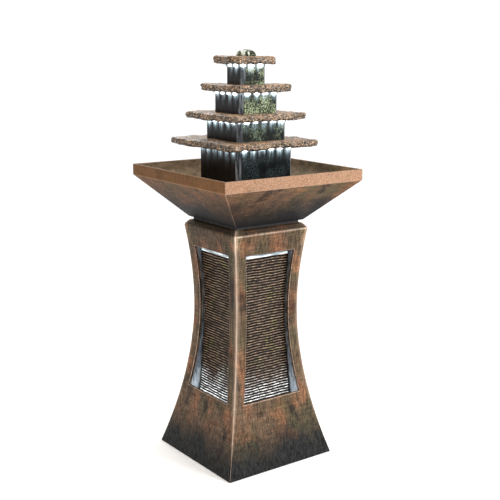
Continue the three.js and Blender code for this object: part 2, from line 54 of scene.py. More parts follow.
QUARTER = math.pi / 2

# Driving dimensions that the CAD parts' boxes don't give
STILE = 0.034  # pedestal face beside each niche opening
SILL = 0.195
HEAD = 0.622
NICHE_BACK = 0.088  # middle of the fountain to a niche's back, at the waist
NICHE_FOLLOW = 0.3  # share of the pedestal's flare that the back follows
NICHE_CORNER = 0.009  # from a niche's back corner to the diagonal that it shares with the next
PANEL_DEPTH = 0.0062
RIB_PITCH = 0.0078
CORNER_R = 0.005  # the pedestal's rounded upright edges
SHELL_WALL = 0.007
TOP_PLATE = 0.008
FLANGE_HALF = 0.150
TOP_HOLE_HALF = 0.060
BAND_HEIGHT = 0.031  # the bowl's upright rim
BOWL_WALL = 0.010
BOWL_FLOOR = 0.007
RIM_WALL = 0.006
SPIGOT_HALF = 0.058
SPIGOT_WALL = 0.008
BOX_CUT = 0.012  # the tower boxes' cut corners
LIGHT_PITCH = 0.030
LIGHT_OFFSETS = {1: 0.015, 2: 0.0, 3: 0.015, 4: 0.015}  # middle of a side to its nearest light
WATER_DEPTH = 0.028

# ---------------------------------------------------------------- camera and room


def add_camera():
    """The view that fits the photograph."""
    data = bpy.data.cameras.new("camera")
    data.sensor_width = 36
    data.lens = 68.35
    camera = bpy.data.objects.new("camera", data)
    heading = Matrix.Rotation(math.radians(-36.33), 4, "Z")
    tilt = Matrix.Rotation(math.radians(90 - 12.22), 4, "X")
    roll = Matrix.Rotation(math.radians(0.27), 4, "Z")
    place = Matrix.Translation((-1.5878, -2.1819, 1.193))
    camera.matrix_world = place @ heading @ tilt @ roll
    bpy.context.scene.collection.objects.link(camera)
    bpy.context.scene.camera = camera


def add_light(name, place, target, size, power, color):
    data = bpy.data.lights.new(name, "AREA")
    data.shape = "DISK"
    data.size = size
    data.energy = power
    data.color = color
    light = bpy.data.objects.new(name, data)
    light.location = place
    light.rotation_euler = (Vector(target) - Vector(place)).to_track_quat("-Z", "Y").to_euler()
    bpy.context.scene.collection.objects.link(light)


def add_room():
    """A white room, dimmer at its upper left, with soft lights at the front right, back and left."""
    world = bpy.data.worlds.new("studio")
    world.use_nodes = True
    tree = world.node_tree
    background = tree.nodes["Background"]
    background.inputs["Color"].default_value = (1, 1, 1, 1)
    direction = node(tree, "ShaderNodeTexCoord").outputs["Generated"]
    across, _, up = axes(tree, direction)
    leftward = between(tree, across, 0.0, -0.8, 0.0, 0.85)
    dimmer = times(tree, leftward, between(tree, up, 0.15, 0.4))
    tree.links.new(math_node(tree, "SUBTRACT", 1.1, dimmer), background.inputs["Strength"])
    bpy.context.scene.world = world
    bpy.context.scene.view_settings.view_transform = "Standard"
    middle = (0, 0, 0.6)
    add_light("key", (1.5, -2.4, 1.9), middle, 1.4, 84, (1.0, 0.97, 0.93))
    add_light("back", (0.6, 2.6, 2.4), middle, 1.6, 30, (1.0, 0.98, 0.95))
    add_light("fill", (-2.6, -0.4, 2.2), middle, 1.6, 22, (1.0, 0.80, 0.58))
    bpy.ops.mesh.primitive_plane_add(size=40)
    floor = bpy.context.object
    floor.name = "floor"
    material, tree, shader = new_material("floor_paper")
    shader.inputs["Base Color"].default_value = (1, 1, 1, 1)
    shader.inputs["Roughness"].default_value = 0.9
    shader.inputs["Emission Color"].default_value = (1, 1, 1, 1)
    shader.inputs["Emission Strength"].default_value = 0.12
    floor.data.materials.append(material)


# ---------------------------------------------------------------- shader helpers


def new_material(name):
    material = bpy.data.materials.new(name)
    material.use_nodes = True
    tree = material.node_tree
    return material, tree, tree.nodes["Principled BSDF"]


def node(tree, kind, inputs=None, **settings):
    """A shader node with its settings and inputs: a socket is linked, and anything else is a value."""
    made = tree.nodes.new(kind)
    for key, value in settings.items():
        setattr(made, key, value)
    for key, value in (inputs or {}).items():
        if isinstance(value, bpy.types.NodeSocket):
            tree.links.new(value, made.inputs[key])
        else:
            made.inputs[key].default_value = value
    return made


def math_node(tree, operation, *values):
    made = tree.nodes.new("ShaderNodeMath")
    made.operation = operation
    for index, value in enumerate(values):
        if isinstance(value, bpy.types.NodeSocket):
            tree.links.new(value, made.inputs[index])
        else:
            made.inputs[index].default_value = value
    return made.outputs[0]


def feed(tree, shader, name, socket):
    """Links a socket to one of the shader's inputs."""
    tree.links.new(socket, shader.inputs[name])


def times(tree, value, factor):
    return math_node(tree, "MULTIPLY", value, factor)


def distance_between(tree, value, other):
    return math_node(tree, "ABSOLUTE", math_node(tree, "SUBTRACT", value, other))


def place_of(tree):
    """The point's place in the row frame."""
    return node(tree, "ShaderNodeTexCoord").outputs["Object"]


def stretched(tree, place, scale):
    return node(
        tree, "ShaderNodeVectorMath", {0: place, 1: scale}, operation="MULTIPLY"
    ).outputs[0]


def clouds(tree, place, scale=1.0, detail=4.0, roughness=0.55, distortion=0.0):
    """Fractal noise, 0 to 1."""
    return node(
        tree,
        "ShaderNodeTexNoise",
        {
            "Vector": place,
            "Scale": scale,
            "Detail": detail,
            "Roughness": roughness,
            "Distortion": distortion,
        },
    ).outputs["Fac"]


def cells(tree, place, scale):
    """Distance to the nearest of scattered points."""
    return node(tree, "ShaderNodeTexVoronoi", {"Vector": place, "Scale": scale}).outputs["Distance"]


def between(tree, value, low, high, to_low=0.0, to_high=1.0):
    """Low to high, smoothly, as to_low to to_high."""
    return node(
        tree,
        "ShaderNodeMapRange",
        {
            "Value": value,
            "From Min": low,
            "From Max": high,
            "To Min": to_low,
            "To Max": to_high,
        },
        interpolation_type="SMOOTHSTEP",
    ).outputs[0]


def srgb(*values):
    """An 8-bit display colour as the linear colour that shaders use."""
    linear = [
        v / 255 / 12.92 if v / 255 <= 0.04045 else ((v / 255 + 0.055) / 1.055) ** 2.4
        for v in values
    ]
    return (*linear, 1)


def mix(tree, share, low, high, blend="MIX"):
    made = tree.nodes.new("ShaderNodeMix")
    made.data_type = "RGBA"
    made.blend_type = blend
    for index, value in ((0, share), (6, low), (7, high)):  # factor, colour A and colour B
        if isinstance(value, bpy.types.NodeSocket):
            tree.links.new(value, made.inputs[index])
        else:
            made.inputs[index].default_value = value
    return made.outputs[2]  # the colour


def bump(tree, height, strength, distance, under=None):
    inputs = {"Height": height, "Strength": strength, "Distance": distance}
    if under is not None:
        inputs["Normal"] = under
    return node(tree, "ShaderNodeBump", inputs).outputs[0]


def axes(tree, place):
    return node(tree, "ShaderNodeSeparateXYZ", {0: place}).outputs


def corner_distance(tree, place):
    """How far a point on a square section's face is from the section's corner."""
    x, y, _ = axes(tree, place)
    return distance_between(tree, math_node(tree, "ABSOLUTE", x), math_node(tree, "ABSOLUTE", y))


def height_distance(tree, place, heights):
    """How far a point is from the nearest of some heights."""
    z = axes(tree, place)[2]
    distances = [distance_between(tree, z, height) for height in heights]
    nearest = distances[0]
    for distance in distances[1:]:
        nearest = math_node(tree, "MINIMUM", nearest, distance)
    return nearest


# ---------------------------------------------------------------- materials


def facing_side(tree, axis):
    """1 on faces that look along a level axis, either way, more than across it, and 0 on the others."""
    normal = axes(tree, node(tree, "ShaderNodeTexCoord").outputs["Normal"])
    along = math_node(tree, "ABSOLUTE", normal[axis])
    across = math_node(tree, "ABSOLUTE", normal[1 - axis])
    return between(tree, math_node(tree, "SUBTRACT", along, across), 0.1, 0.4)


def facing_out(tree, place):
    """Above 0 on faces that look away from the fountain's middle, and below 0 on ones that look in."""
    flat = stretched(tree, place, (1, 1, 0))
    normal = node(tree, "ShaderNodeTexCoord").outputs["Normal"]
    dot = node(tree, "ShaderNodeVectorMath", {0: normal, 1: flat}, operation="DOT_PRODUCT")
    return dot.outputs["Value"]


def brushed_copper(tree, shader, place, tones, wear_and_highlight, brushing):
    """Antique copper brushed over dark resin: warm, dull and sooty areas, strokes down the height, a
    fine cross hatch, and bright parts where it is rubbed or where a highlight is painted. Brushing is
    how far strokes darken and lighten it."""
    dark, brown, orange, olive, bright = tones
    areas = clouds(tree, place, 6.0, 3.0, 0.5, 0.5)
    warmth = clouds(tree, stretched(tree, place, (15, 15, 11)), 1.0, 4.0, 0.55, 0.2)
    soot = clouds(tree, stretched(tree, place, (15, 15, 9)), 1.0, 5.0, 0.6)
    strokes = clouds(tree, stretched(tree, place, (230, 230, 15)), 1.0, 5.0, 0.75)
    hatching = clouds(tree, stretched(tree, place, (24, 24, 290)), 1.0, 4.0, 0.7)
    grain = clouds(tree, place, 600.0, 4.0, 0.65)
    tone = mix(tree, between(tree, areas, 0.40, 0.60), brown, olive)
    tone = mix(tree, between(tree, warmth, 0.46, 0.34, 0.0, 0.4), tone, olive)
    tone = mix(tree, between(tree, warmth, 0.46, 0.70, 0.0, 0.9), tone, orange)
    tone = mix(tree, between(tree, soot, 0.50, 0.34, 0.0, 0.85), tone, dark)
    shade = times(
        tree,
        between(tree, strokes, 0.3, 0.7, 1 - brushing, 1 + brushing),
        between(tree, hatching, 0.3, 0.7, 0.6, 1.4),
    )
    tone = mix(tree, 1.0, tone, shade, "MULTIPLY")
    # Bright where the copper is rubbed, and where the mask paints a highlight
    rubbed = times(tree, wear_and_highlight, between(tree, strokes, 0.3, 0.65, 0.6, 1.0))
    tone = mix(tree, rubbed, tone, bright)
    feed(tree, shader, "Base Color", tone)
    feed(tree, shader, "Roughness", between(tree, strokes, 0.3, 0.7, 0.65, 0.42))
    shader.inputs["Metallic"].default_value = 0.2
    shader.inputs["Specular IOR Level"].default_value = 0.16
    under = bump(tree, strokes, 0.4, 0.0008)
    feed(tree, shader, "Normal", bump(tree, grain, 0.35, 0.0004, under))
    return tone, soot


def pedestal_copper(shoulder_z):
    """Copper that is rubbed bright down the corners, with a painted highlight there, and a painted
    highlight line under the shoulder on the faces that look along Y; darker beside the openings and on
    the bevel, with painted shade beside them on the faces that look along X; and stained blue-black
    towards the floor."""
    material, tree, shader = new_material("pedestal_copper")
    place = place_of(tree)
    # The last tone is for rubbed copper and for the painted highlight on the corners.
    tones = (
        srgb(32, 28, 25),
        srgb(114, 92, 72),
        srgb(154, 106, 76),
        srgb(94, 84, 62),
        srgb(255, 226, 204),
    )
    height = axes(tree, place)[2]
    distance = corner_distance(tree, place)
    # Rubbed copper with a painted highlight down the rounded corners, narrower towards the floor.
    slimmer = between(tree, height, 0.02, 0.24, 0.3, 1.0)
    from_corner = math_node(tree, "DIVIDE", distance, slimmer)
    rubbed = math_node(
        tree,
        "ADD",
        between(tree, from_corner, 0.0045, 0.001, 0.0, 0.65),
        between(tree, from_corner, 0.015, 0.002, 0.0, 0.25),
    )
    # A painted highlight line under the shoulder, only on the faces that look along Y.
    lip_highlight = between(tree, height_distance(tree, place, [shoulder_z - 0.001]), 0.004, 0.0, 0.0, 0.45)
    lip_highlight = times(tree, lip_highlight, facing_side(tree, 1))
    wear_and_highlight = math_node(tree, "MAXIMUM", rubbed, lip_highlight)
    tone, soot = brushed_copper(tree, shader, place, tones, wear_and_highlight, 0.65)
    beside = between(tree, distance, 0.012, STILE, 1.0, 0.52)
    above = between(tree, height, HEAD, HEAD + 0.040, 0.62, 1.2)
    at_opening = between(tree, height, SILL - 0.02, SILL + 0.02)
    # Painted shade: beside the openings, the faces that look along X are darker still.
    beside = times(tree, beside, between(tree, facing_side(tree, 0), 0.0, 1.0, 1.0, 0.8))
    shade = math_node(tree, "MINIMUM", mix(tree, at_opening, (1, 1, 1, 1), beside), above)
    bevel = between(tree, height, shoulder_z + 0.001, shoulder_z + 0.004, 1.0, 0.5)
    tone = mix(tree, 1.0, tone, times(tree, shade, bevel), "MULTIPLY")
    low = math_node(tree, "ADD", height, between(tree, soot, 0.3, 0.7, 0.035, -0.035))
    stained = times(tree, between(tree, low, 0.14, 0.025), between(tree, wear_and_highlight, 0.3, 0.8, 1.0, 0.45))
    streaks = clouds(tree, stretched(tree, place, (170, 170, 45)), 1.0, 5.0, 0.8)
    stain = mix(tree, between(tree, streaks, 0.40, 0.60), srgb(3, 4, 5), srgb(40, 42, 42))
    feed(tree, shader, "Base Color", mix(tree, stained, tone, stain))
    return material


def bowl_copper(foot_z, band_z, rim_z):
    """Copper on the bowl: a speckled rim band, painted paler on the faces that look along Y and duller
    on the others; rubbed copper with a painted highlight on the corners, the band's lower edge and the
    rim; inner walls paler, with painted glare; and painted shade on the outer faces that look along X
    and on the lower wall.
    """
    material, tree, shader = new_material("bowl_copper")
    place = place_of(tree)
    # The last tone is for rubbed copper and for the painted highlight on the edges.
    tones = (
        srgb(34, 29, 27),
        srgb(100, 76, 58),
        srgb(124, 86, 58),
        srgb(84, 72, 50),
        srgb(190, 158, 138),
    )
    height = axes(tree, place)[2]
    corner = between(tree, corner_distance(tree, place), 0.0028, 0.0004, 0.0, 0.6)
    # Rubbed copper with a painted highlight on the corners, the band's lower edge and the rim.
    edges = between(tree, height_distance(tree, place, [band_z, rim_z]), 0.0022, 0.0002, 0.0, 0.6)
    wear_and_highlight = math_node(tree, "MAXIMUM", corner, edges)
    tone, soot = brushed_copper(tree, shader, place, tones, wear_and_highlight, 0.3)
    shader.inputs["Metallic"].default_value = 0.1
    shader.inputs["Specular IOR Level"].default_value = 0.05
    speckle = clouds(tree, place, 420.0, 4.0, 0.7)
    # Lit and shaded copies of the band's tone: the faces that look along Y take the paler, lit one.
    lit_pale = mix(tree, between(tree, speckle, 0.36, 0.64), srgb(124, 90, 70), srgb(182, 148, 122))
    dull = mix(tree, between(tree, speckle, 0.36, 0.64), srgb(104, 80, 62), srgb(136, 108, 84))
    band = between(tree, height, band_z - 0.001, band_z + 0.001)
    band_tone = mix(tree, facing_side(tree, 1), dull, lit_pale)
    cover = times(tree, band, between(tree, facing_side(tree, 1), 0, 1, 0.6, 0.85))
    tone = mix(tree, cover, tone, band_tone)
    inside = between(tree, facing_out(tree, place), 0.0, -0.02)
    damp = clouds(tree, stretched(tree, place, (26, 26, 40)), 1.0, 5.0, 0.65)
    # Inner walls take their own mottled tone, with pale specks painted as glare.
    wall = mix(tree, between(tree, damp, 0.38, 0.62), srgb(96, 84, 62), srgb(176, 150, 122))
    wall = mix(tree, between(tree, speckle, 0.40, 0.60, 0.0, 0.5), wall, srgb(206, 190, 160))
    tone = mix(tree, times(tree, inside, 0.75), tone, wall)
    # Painted shade: the outer faces that look along X are darker and warmer.
    side_shade = mix(tree, facing_side(tree, 0), (1, 1, 1, 1), (0.84, 0.72, 0.54, 1))
    tone = mix(tree, between(tree, inside, 0.0, 1.0, 1.0, 0.0), tone, side_shade, "MULTIPLY")
    # Painted shade on the lower wall, which faces down to the floor; less on rubbed parts and inside.
    low = math_node(tree, "ADD", height, between(tree, soot, 0.3, 0.7, 0.03, -0.03))
    shade = between(tree, low, foot_z + 0.125, foot_z + 0.01, 0.0, 1.0)
    shade = times(tree, shade, between(tree, wear_and_highlight, 0.3, 0.8, 1.0, 0.5))
    shade = times(tree, shade, between(tree, inside, 0.0, 1.0, 1.0, 0.5))
    feed(tree, shader, "Base Color", mix(tree, shade, tone, srgb(29, 28, 29)))
    return material


def wet_liner():
    """Dark resin behind the openings, wet, with painted blue-white light from the sill and the head
    light, a painted glow near the sill, painted glints on drops and painted shade in the back corners.
    """
    material, tree, shader = new_material("niche_liner_painted_light")
    place = place_of(tree)
    run = clouds(tree, stretched(tree, place, (200, 200, 24)), 1.0, 5.0, 0.68)
    drops_and_glints = clouds(tree, place, 420.0, 4.0, 0.7)
    height = axes(tree, place)[2]
    dark = mix(tree, between(tree, run, 0.38, 0.66), srgb(36, 39, 42), srgb(108, 108, 106))
    lit_pale = mix(tree, between(tree, run, 0.36, 0.66), srgb(84, 94, 106), srgb(140, 148, 158))
    low = math_node(tree, "ADD", height, between(tree, run, 0.3, 0.7, 0.03, -0.03))
    # Painted light: paler towards the sill and just under the head light.
    tone = mix(tree, between(tree, low, 0.46, 0.22), dark, lit_pale)
    tone = mix(tree, between(tree, height, HEAD - 0.05, HEAD - 0.01, 0.0, 0.7), tone, lit_pale)
    # Pale flecks on the drops are painted glints.
    tone = mix(tree, between(tree, drops_and_glints, 0.54, 0.70, 0.0, 0.6), tone, srgb(176, 184, 194))
    # Painted shade in the niche's back corners.
    lit = between(tree, corner_distance(tree, place), 0.013, 0.020)
    tone = mix(tree, lit, srgb(12, 15, 22), tone)
    feed(tree, shader, "Base Color", tone)
    feed(tree, shader, "Roughness", between(tree, run, 0.3, 0.7, 0.12, 0.4))
    shader.inputs["Emission Color"].default_value = (0.84, 0.93, 1.0, 1)
    # A painted glow near the sill; the liner is no lamp.
    glow = between(tree, low, 0.26, 0.19, 0.0, 0.25)
    feed(tree, shader, "Emission Strength", times(tree, glow, lit))
    feed(tree, shader, "Normal", bump(tree, drops_and_glints, 0.5, 0.001))
    return material


def ribbed_resin():
    """Dark slate-like ribs: painted shade in the grooves, tan and greenish crests with painted
    highlights, and a painted blue-white glow where the sill light reaches.
    """
    material, tree, shader = new_material("ribbed_resin_painted_light")
    place = place_of(tree)
    crest = node(tree, "ShaderNodeAttribute", attribute_name="crest").outputs["Fac"]
    broken = clouds(tree, stretched(tree, place, (90, 60, 130)), 1.0, 5.0, 0.75)
    patches = clouds(tree, place, 20.0, 4.0, 0.6)
    height = axes(tree, place)[2]
    # Painted shade in the grooves.
    shaded_groove = mix(tree, between(tree, crest, 0.2, 0.7), srgb(1, 1, 1), srgb(34, 27, 23))
    lit_ridge = mix(tree, between(tree, patches, 0.50, 0.68), srgb(176, 148, 124), srgb(176, 162, 112))
    # Painted highlights on the crests, weaker near the niche's corners.
    lit = times(tree, between(tree, crest, 0.66, 1.0), between(tree, broken, 0.40, 0.64, 0.16, 1.0))
    margin = corner_distance(tree, place)
    lit = times(tree, lit, between(tree, margin, 0.010, 0.022, 0.25, 1.0))
    feed(tree, shader, "Base Color", mix(tree, lit, shaded_groove, lit_ridge))
    feed(tree, shader, "Roughness", between(tree, broken, 0.3, 0.7, 0.5, 0.25))
    shader.inputs["Specular IOR Level"].default_value = 0.15
    # A painted glow from the sill light; the ribs are no lamp.
    uneven = between(tree, patches, 0.35, 0.65, 0.022, -0.022)
    fade = between(tree, math_node(tree, "ADD", height, uneven), 0.30, SILL)
    glow = times(tree, math_node(tree, "POWER", fade, 2.0), lit)
    shader.inputs["Emission Color"].default_value = (0.86, 0.93, 1.0, 1)
    feed(tree, shader, "Emission Strength", times(tree, glow, 2.1))
    feed(tree, shader, "Normal", bump(tree, broken, 0.5, 0.001))
    return material


def split_stone():
    """Wet, pitted brown stone, with painted light on the faces that look up, warmer and paler there,
    and painted shade on the faces that look down.
    """
    material, tree, shader = new_material("split_stone_wet")
    place = place_of(tree)
    grains = clouds(tree, stretched(tree, place, (150, 150, 230)), 1.0, 5.0, 0.78)
    patches = clouds(tree, place, 22.0, 5.0, 0.62)
    flecks = cells(tree, place, 300.0)
    tone = mix(tree, between(tree, patches, 0.38, 0.62), srgb(54, 44, 34), srgb(112, 88, 66))
    normal = node(tree, "ShaderNodeTexCoord").outputs["Normal"]
    # Painted light: the faces that look up take a warmer, paler tone.
    upper = mix(tree, between(tree, patches, 0.4, 0.6), srgb(96, 80, 62), srgb(164, 124, 88))
    facing = axes(tree, normal)[2]
    tone = mix(tree, between(tree, facing, 0.4, 0.9), tone, upper)
    # Painted shade on the faces that look down.
    tone = mix(tree, between(tree, facing, 0.15, -0.45, 0.0, 0.9), tone, srgb(20, 16, 13))
    tone = mix(tree, between(tree, grains, 0.50, 0.40), tone, srgb(20, 16, 12))
    tone = mix(tree, between(tree, grains, 0.52, 0.62), tone, srgb(196, 166, 134))
    tone = mix(tree, between(tree, flecks, 0.20, 0.06, 0.0, 0.7), tone, srgb(224, 210, 192))
    feed(tree, shader, "Base Color", tone)
    feed(tree, shader, "Roughness", between(tree, grains, 0.35, 0.7, 0.25, 0.6))
    shader.inputs["Specular IOR Level"].default_value = 0.3
    shader.inputs["Coat Weight"].default_value = 0.12
    shader.inputs["Coat Roughness"].default_value = 0.2
    under = bump(tree, patches, 0.4, 0.002)
    feed(tree, shader, "Normal", bump(tree, grains, 0.8, 0.0012, under))
    return material


def light_spots(tree, place, slab_z, offset, tightness, reach):
    """How near a point is to the lights under a slab: 1 at each light, fading down over reach."""
    x, y, z = axes(tree, place)
    along = math_node(
        tree, "MINIMUM", math_node(tree, "ABSOLUTE", x), math_node(tree, "ABSOLUTE", y)
    )
    phase = times(tree, math_node(tree, "SUBTRACT", along, offset), math.pi / LIGHT_PITCH)
    wave = math_node(tree, "ABSOLUTE", math_node(tree, "COSINE", phase))
    beside = 0.025  # the share of light that is left between two lights
    drop = 0.006  # from the slab to the lights
    spots = math_node(tree, "MAXIMUM", math_node(tree, "POWER", wave, tightness), beside)
    depth = math_node(tree, "MAXIMUM", math_node(tree, "SUBTRACT", slab_z - drop, z), 0.0)
    fade = math_node(tree, "EXPONENT", times(tree, depth, -1 / reach))
    uneven = between(tree, clouds(tree, place, 30.0, 2.0), 0.36, 0.56, 0.15, 1.0)
    return times(tree, times(tree, spots, fade), uneven)


# Colours of the painted glints on each tier's box, on the faces that look along Y.
GLINT_COLORS = {
    1: srgb(62, 74, 78),
    2: srgb(132, 148, 122),
    3: srgb(206, 222, 176),
    4: srgb(206, 222, 176),
}


def wet_black_stone(tier, slab_z):
    """Polished near-black stone under a film of running water, with a painted glow running down from
    the lights, painted glints on the faces that look along Y and a painted reflection on the cut
    corners.
    """
    material, tree, shader = new_material(f"black_stone_painted_light_{tier}")
    place = place_of(tree)
    run = clouds(tree, stretched(tree, place, (190, 190, 20)), 1.0, 5.0, 0.65)
    sparkle = clouds(tree, stretched(tree, place, (330, 330, 210)), 1.0, 4.0, 0.7)
    patches = clouds(tree, place, 24.0, 4.0, 0.6)
    tone = mix(tree, between(tree, run, 0.42, 0.72), srgb(4, 4, 6), srgb(36, 28, 24))
    # Painted glints on the faces that look along Y.
    glint_share = times(
        tree, between(tree, sparkle, 0.44, 0.66), between(tree, patches, 0.40, 0.60, 0.05, 1.0)
    )
    glinting_side = mix(tree, glint_share, srgb(13, 17, 18), GLINT_COLORS[tier])
    tone = mix(tree, facing_side(tree, 1), tone, glinting_side)
    # A painted reflection on the cut corners.
    corner = between(tree, corner_distance(tree, place), BOX_CUT + 0.001, BOX_CUT - 0.002)
    corner_reflection = mix(tree, between(tree, run, 0.4, 0.62), srgb(44, 50, 58), srgb(122, 128, 132))
    tone = mix(tree, corner, tone, corner_reflection)
    feed(tree, shader, "Base Color", tone)
    feed(tree, shader, "Roughness", between(tree, run, 0.35, 0.7, 0.08, 0.25))
    shader.inputs["Specular IOR Level"].default_value = 0.14
    # A painted glow below the lights; the stone is no lamp.
    streaks = between(tree, run, 0.38, 0.60, 0.3, 1.4)
    glow = light_spots(tree, place, slab_z, LIGHT_OFFSETS[tier], 1.6, 0.0055)
    shader.inputs["Emission Color"].default_value = (0.70, 0.90, 1.0, 1)
    strength = times(tree, times(tree, glow, streaks), 4.0)
    feed(tree, shader, "Emission Strength", strength)
    under = bump(tree, run, 0.5, 0.0012)
    feed(tree, shader, "Normal", bump(tree, sparkle, 0.35, 0.0006, under))
    return material


def light_strip_gel(tier, slab_z):
    """Dark resin with a white diode under each clear lens."""
    material, tree, shader = new_material(f"light_strip_gel_{tier}")
    place = place_of(tree)
    haze = clouds(tree, place, 300.0, 3.0)
    feed(tree, shader, "Base Color", mix(tree, haze, srgb(22, 24, 28), srgb(60, 66, 72)))
    shader.inputs["Roughness"].default_value = 0.15
    spots = light_spots(tree, place, slab_z, LIGHT_OFFSETS[tier], 3.0, 0.05)
    shader.inputs["Emission Color"].default_value = (0.84, 0.95, 1.0, 1)
    feed(tree, shader, "Emission Strength", times(tree, spots, 13.0))
    return material


def lit_diffuser(name, dim, bright):
    """Frosted plastic with light inside, uneven along its length."""
    material, tree, shader = new_material(name)
    place = place_of(tree)
    uneven = clouds(tree, stretched(tree, place, (22, 22, 160)), 1.0, 4.0, 0.6)
    tone = mix(tree, between(tree, uneven, 0.4, 0.6), srgb(120, 136, 146), srgb(214, 224, 230))
    feed(tree, shader, "Base Color", tone)
    shader.inputs["Roughness"].default_value = 0.3
    shader.inputs["Emission Color"].default_value = (0.80, 0.92, 1.0, 1)
    feed(tree, shader, "Emission Strength", between(tree, uneven, 0.42, 0.6, dim, bright))
    return material


def worn_highlit_copper():
    """Bright rubbed metal on the edges, which also stands as a painted highlight along them."""
    material, tree, shader = new_material("worn_highlit_copper")
    place = place_of(tree)
    rub = clouds(tree, place, 160.0, 5.0, 0.65)
    tone = mix(tree, between(tree, rub, 0.36, 0.6), srgb(112, 92, 80), srgb(188, 164, 146))
    feed(tree, shader, "Base Color", tone)
    feed(tree, shader, "Roughness", between(tree, rub, 0.3, 0.7, 0.5, 0.32))
    shader.inputs["Metallic"].default_value = 0.35
    feed(tree, shader, "Normal", bump(tree, rub, 0.3, 0.0004))
    return material


def rubber_or_plastic(name, color, rough_low, rough_high, grain_size):
    material, tree, shader = new_material(name)
    place = place_of(tree)
    grain = clouds(tree, place, 1 / grain_size, 3.0, 0.6)
    scuffs = clouds(tree, place, 40.0, 5.0, 0.65)
    lighter = mix(tree, 1.0, color, (1.7, 1.7, 1.7, 1), "MULTIPLY")
    feed(tree, shader, "Base Color", mix(tree, between(tree, scuffs, 0.45, 0.7), color, lighter))
    feed(tree, shader, "Roughness", between(tree, scuffs, 0.35, 0.65, rough_low, rough_high))
    feed(tree, shader, "Normal", bump(tree, grain, 0.25, 0.0002))
    return material


def ground_steel():
    material, tree, shader = new_material("ground_steel")
    place = place_of(tree)
    lines = clouds(tree, stretched(tree, place, (60, 4000, 60)), 1.0, 3.0)
    feed(tree, shader, "Base Color", mix(tree, lines, srgb(170, 172, 176), srgb(214, 216, 220)))
    feed(tree, shader, "Roughness", between(tree, lines, 0.3, 0.7, 0.2, 0.4))
    shader.inputs["Metallic"].default_value = 1.0
    return material


def clear_vinyl():
    material, tree, shader = new_material("clear_vinyl")
    place = place_of(tree)
    haze = clouds(tree, place, 60.0, 4.0)
    feed(tree, shader, "Base Color", mix(tree, haze, srgb(206, 216, 212), srgb(232, 238, 236)))
    feed(tree, shader, "Roughness", between(tree, haze, 0.3, 0.7, 0.1, 0.3))
    shader.inputs["Transmission Weight"].default_value = 0.75
    shader.inputs["IOR"].default_value = 1.45
    return material


def foaming_highlit_water():
    """Water full of air over dark stone: grey-green hollows, white crests that are painted highlights,
    and flecks of white foam.
    """
    material, tree, shader = new_material("foaming_highlit_water")
    place = place_of(tree)
    crests = clouds(tree, place, 62.0, 3.0, 0.5, 1.2)
    foam = clouds(tree, place, 380.0, 3.0, 0.6)
    tone = mix(tree, between(tree, crests, 0.42, 0.54), srgb(44, 50, 34), srgb(128, 136, 110))
    # Painted highlights on the crests.
    tone = mix(tree, between(tree, crests, 0.55, 0.62), tone, srgb(236, 242, 232))
    tone = mix(tree, between(tree, foam, 0.62, 0.76, 0.0, 0.4), tone, srgb(240, 246, 240))
    feed(tree, shader, "Base Color", tone)
    feed(tree, shader, "Roughness", between(tree, foam, 0.3, 0.7, 0.02, 0.2))
    shader.inputs["Transmission Weight"].default_value = 0.25
    shader.inputs["IOR"].default_value = 1.33
    feed(tree, shader, "Normal", bump(tree, crests, 0.9, 0.006))
    return material


def water():
    material, tree, shader = new_material("running_water")
    place = place_of(tree)
    ripples = clouds(tree, place, 120.0, 3.0, 0.5, 0.6)
    feed(tree, shader, "Base Color", mix(tree, ripples, (0.86, 0.93, 0.93, 1), (0.98, 1, 1, 1)))
    feed(tree, shader, "Roughness", between(tree, ripples, 0.3, 0.7, 0.0, 0.06))
    shader.inputs["Transmission Weight"].default_value = 1.0
    shader.inputs["IOR"].default_value = 1.33
    feed(tree, shader, "Normal", bump(tree, ripples, 0.4, 0.002))
    return material


# ---------------------------------------------------------------- mesh helpers


def make_object(name, mesh):
    made = bpy.data.objects.new(name, mesh)
    bpy.context.scene.collection.objects.link(made)
    return made


def object_from(work, name):
    """An object from a bmesh, which is freed."""
    mesh = bpy.data.meshes.new(name)
    work.to_mesh(mesh)
    work.free()
    return make_object(name, mesh)


def mesh_of(name, points, faces):
    """A smooth-shaded mesh with its faces pointing out."""
    mesh = bpy.data.meshes.new(name)
    mesh.from_pydata([tuple(p) for p in points], [], faces)
    work = bmesh.new()
    work.from_mesh(mesh)
    bmesh.ops.recalc_face_normals(work, faces=work.faces)
    work.to_mesh(mesh)
    work.free()
    mesh.shade_smooth()
    return mesh


def apply_modifiers(piece):
    bpy.context.view_layer.update()
    graph = bpy.context.evaluated_depsgraph_get()
    mesh = bpy.data.meshes.new_from_object(piece.evaluated_get(graph))
    piece.modifiers.clear()
    piece.data = mesh


def weight_normals(piece):
    """Lets large faces shade flat beside small rounded ones."""
    weighted = piece.modifiers.new("normals", "WEIGHTED_NORMAL")
    weighted.keep_sharp = True
    apply_modifiers(piece)


def soften_edges(piece, width, angle=28, own_material=False):
    """Rounds the sharp edges. Their faces take the piece's second material if own_material."""
    bevel = piece.modifiers.new("round", "BEVEL")
    bevel.width = width
    bevel.segments = 2
    bevel.limit_method = "ANGLE"
    bevel.angle_limit = math.radians(angle)
    bevel.harden_normals = True
    bevel.material = 1 if own_material else -1
    weight_normals(piece)


def finish_piece(piece, materials, body, slot, *nodes):
    piece.data.materials.clear()
    for material in materials:
        piece.data.materials.append(material)
    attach(piece, body)
    if nodes:
        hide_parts(*nodes)


def copy_of_node(node_name, name):
    """A new piece with the CAD node's shape, its flat faces made whole again."""
    work = bmesh.new()
    work.from_mesh(frame["nodes"][node_name].data)
    bmesh.ops.remove_doubles(work, verts=work.verts, dist=NEAR)
    flat = math.radians(0.6)
    bmesh.ops.dissolve_limit(work, angle_limit=flat, verts=work.verts, edges=work.edges)
    made = object_from(work, name)
    made.data.shade_smooth()
    return made


